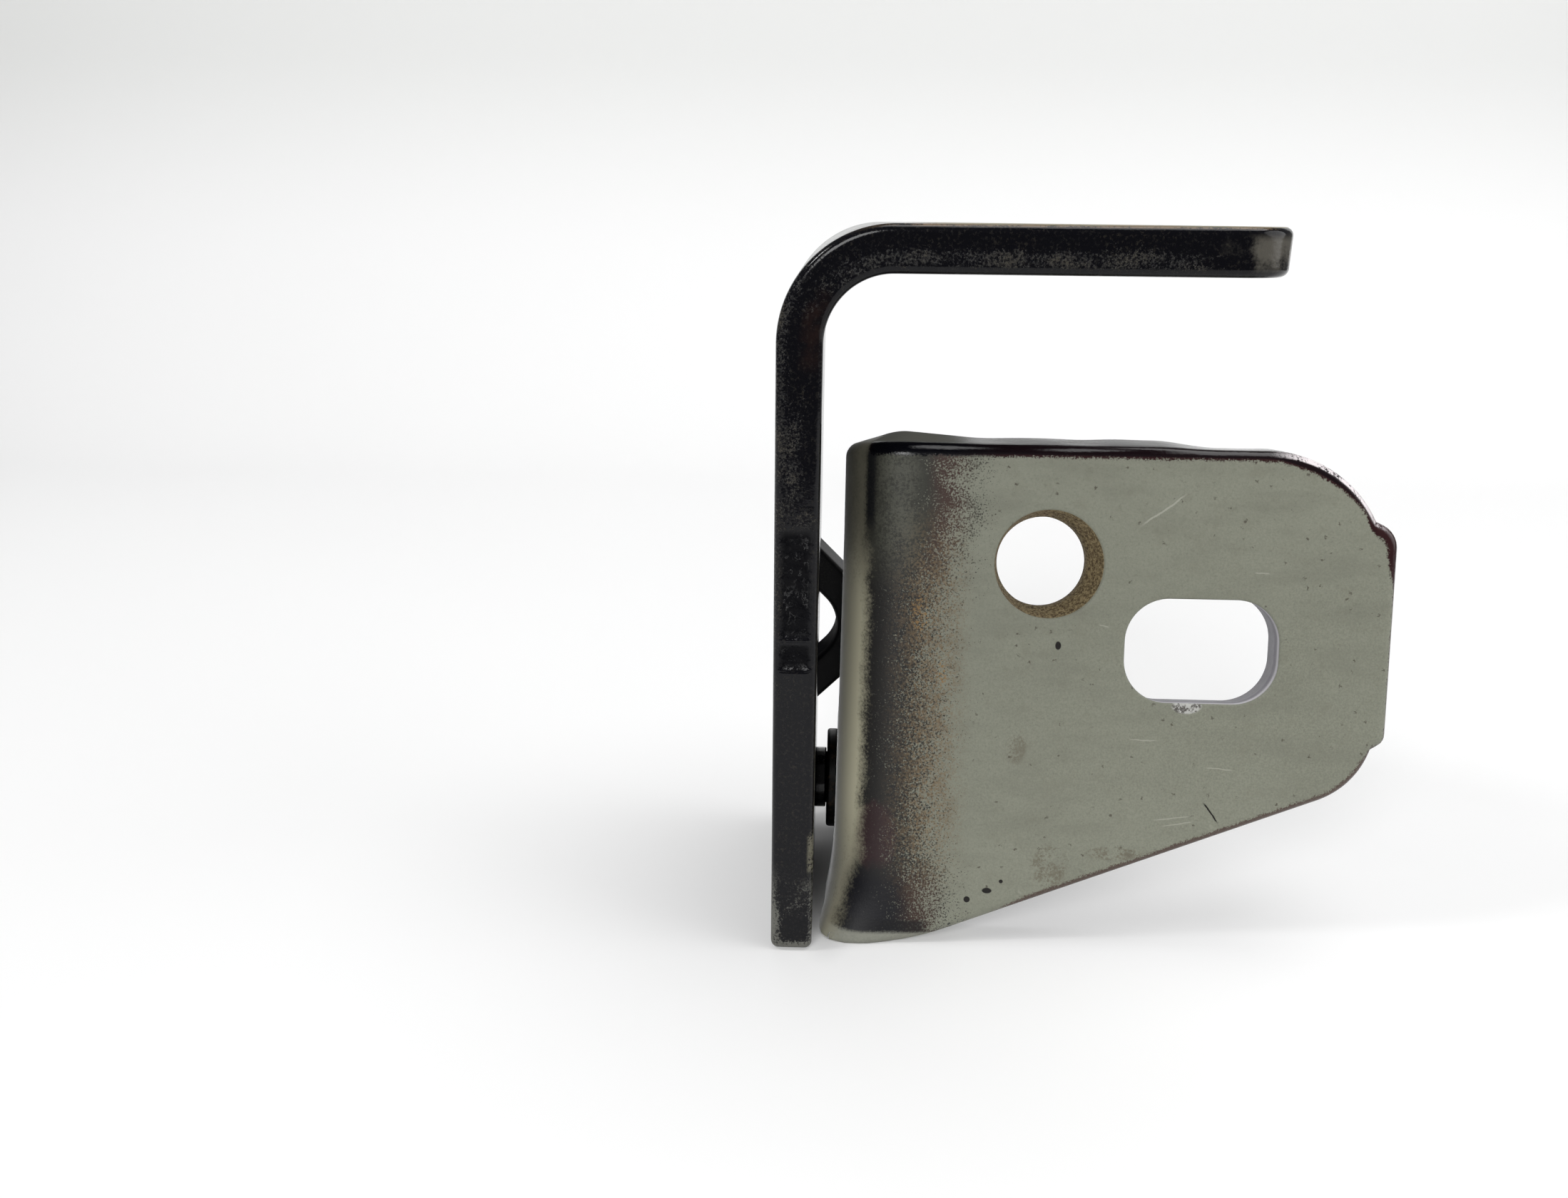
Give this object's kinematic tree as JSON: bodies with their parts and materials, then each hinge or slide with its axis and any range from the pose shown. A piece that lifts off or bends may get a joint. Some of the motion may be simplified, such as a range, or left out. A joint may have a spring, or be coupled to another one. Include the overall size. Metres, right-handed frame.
{
  "type": "car door hinge",
  "caption": "Pressed steel door hinge: an L-shaped arm leaf and a bent mounting plate with a bolt hole and slot, turning on a flush riveted pin with flanged bushes.",
  "frame": {"origin": "middle of the arm leaf's two bolt holes, on the arm leaf's mounting face", "axes": "+Z out of the arm leaf's mounting face, +X along the hinge pin from the arm leaf's web towards the plate leaf, +Y away from the plate leaf's mounting face"},
  "size_m": [0.0736, 0.042, 0.0854],
  "materials": {
    "arm_paint": "thick glossy black paint with dust and worn edges",
    "plate_coat": "satin olive-grey primer with dark overspray along the bend",
    "pin_paint": "black paint over steel",
    "bush_bronze": "dull bronze"
  },
  "bodies": {
    "arm": {"arm_leaf": "arm_paint", "hinge_pin": "pin_paint", "pin_washer": "pin_paint"},
    "plate": {"plate_leaf": "plate_coat", "near_bush": "bush_bronze", "far_bush": "bush_bronze"}
  },
  "joints": [
    {"name": "hinge_swing", "type": "hinge", "parent": "arm", "child": "plate", "pos_m": [-0.025, 0.01, -0.0734], "axis": [1, 0, 0], "range_deg": [0, 70]}
  ]
}
